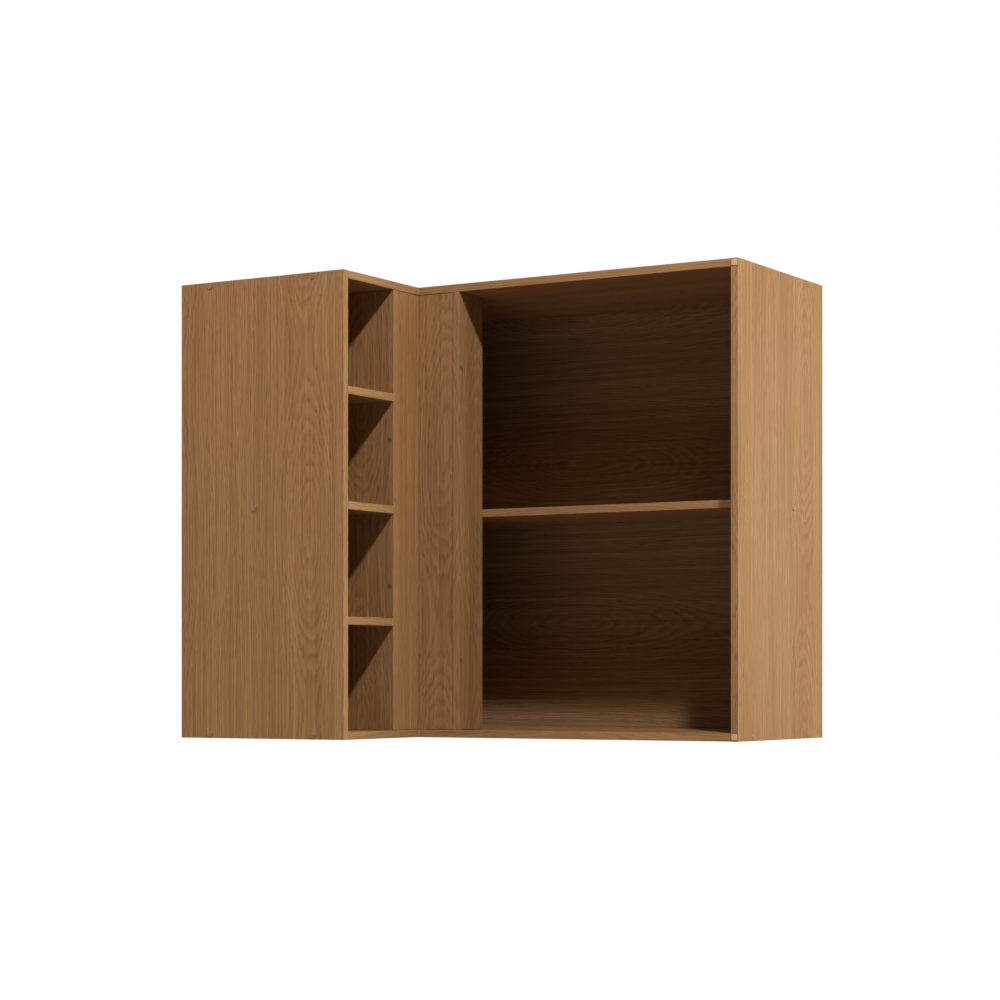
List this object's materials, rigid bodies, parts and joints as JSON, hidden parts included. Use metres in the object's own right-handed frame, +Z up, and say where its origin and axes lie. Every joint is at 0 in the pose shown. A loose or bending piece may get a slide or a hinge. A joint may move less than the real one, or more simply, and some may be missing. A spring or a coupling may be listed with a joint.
{
  "type": "hanging wall cabinet",
  "caption": "L-shaped corner wall cabinet of wood-grain board: an open niche column beside a wide open compartment with a mid shelf, joined by a blind-corner post.",
  "frame": {"origin": "on the main wall's plane, at mid width, at the height of the fixing screws, 50 mm below the top", "axes": "+X to the right along the main wall, +Y into the main wall, +Z up; the side wall is the plane X = -0.426"},
  "size_m": [0.8533, 0.5113, 0.7],
  "materials": {
    "oak_laminate": "satin oak-print laminate on particle board, grain along each board",
    "back_board": "printed oak face inside, plain brown hardboard outside",
    "cover_cap": "moulded plastic in the board's colour",
    "bracket_steel": "pressed steel, bright zinc plated",
    "zinc_screw": "bright zinc plated",
    "brown_screw": "steel in brown lacquer",
    "beech_dowel": "raw turned beech",
    "felt_pad": "matt self-adhesive pad"
  },
  "bodies": {
    "root": {"back_panel_main": "back_board", "back_panel_side": "back_board", "bottom_panel": "oak_laminate", "bracket_left": "bracket_steel", "bracket_right": "bracket_steel", "cap_left_bottom_front": "cover_cap", "cap_left_bottom_rear": "cover_cap", "cap_left_shelf": "cover_cap", "cap_left_top_front": "cover_cap", "cap_left_top_rear": "cover_cap", "cap_right_bottom_front": "cover_cap", "cap_right_bottom_rear": "cover_cap", "cap_right_shelf": "cover_cap", "cap_right_top_front": "cover_cap", "cap_right_top_rear": "cover_cap", "corner_filler_main": "oak_laminate", "corner_filler_niche": "oak_laminate", "dowel_shelf_lower": "beech_dowel", "dowel_shelf_upper": "beech_dowel", "dowel_stile_bottom": "beech_dowel", "dowel_stile_shelf": "beech_dowel", "dowel_stile_top": "beech_dowel", "left_end_panel": "oak_laminate", "main_shelf": "oak_laminate", "main_stile": "oak_laminate", "niche_divider": "oak_laminate", "niche_shelf_lower": "oak_laminate", "niche_shelf_middle": "oak_laminate", "niche_shelf_upper": "oak_laminate", "pad_lower": "felt_pad", "pad_upper": "felt_pad", "rear_corner_upright": "oak_laminate", "right_end_panel": "oak_laminate", "screw_bracket_left_lower": "zinc_screw", "screw_bracket_left_upper": "zinc_screw", "screw_bracket_right_lower": "zinc_screw", "screw_bracket_right_upper": "zinc_screw", "screw_divider_bottom": "zinc_screw", "screw_divider_lower": "zinc_screw", "screw_divider_middle": "zinc_screw", "screw_divider_top": "zinc_screw", "screw_divider_upper": "zinc_screw", "screw_filler_main_lower": "brown_screw", "screw_filler_main_upper": "brown_screw", "screw_filler_niche_lower": "brown_screw", "screw_filler_niche_upper": "brown_screw", "screw_left_bottom_front": "zinc_screw", "screw_left_bottom_rear": "zinc_screw", "screw_left_shelf": "zinc_screw", "screw_left_top_front": "zinc_screw", "screw_left_top_rear": "zinc_screw", "screw_right_bottom_front": "zinc_screw", "screw_right_bottom_rear": "zinc_screw", "screw_right_shelf": "zinc_screw", "screw_right_top_front": "zinc_screw", "screw_right_top_rear": "zinc_screw", "screw_upright_bottom": "zinc_screw", "screw_upright_shelf": "zinc_screw", "screw_upright_top": "zinc_screw", "top_panel": "oak_laminate"}
  },
  "joints": []
}
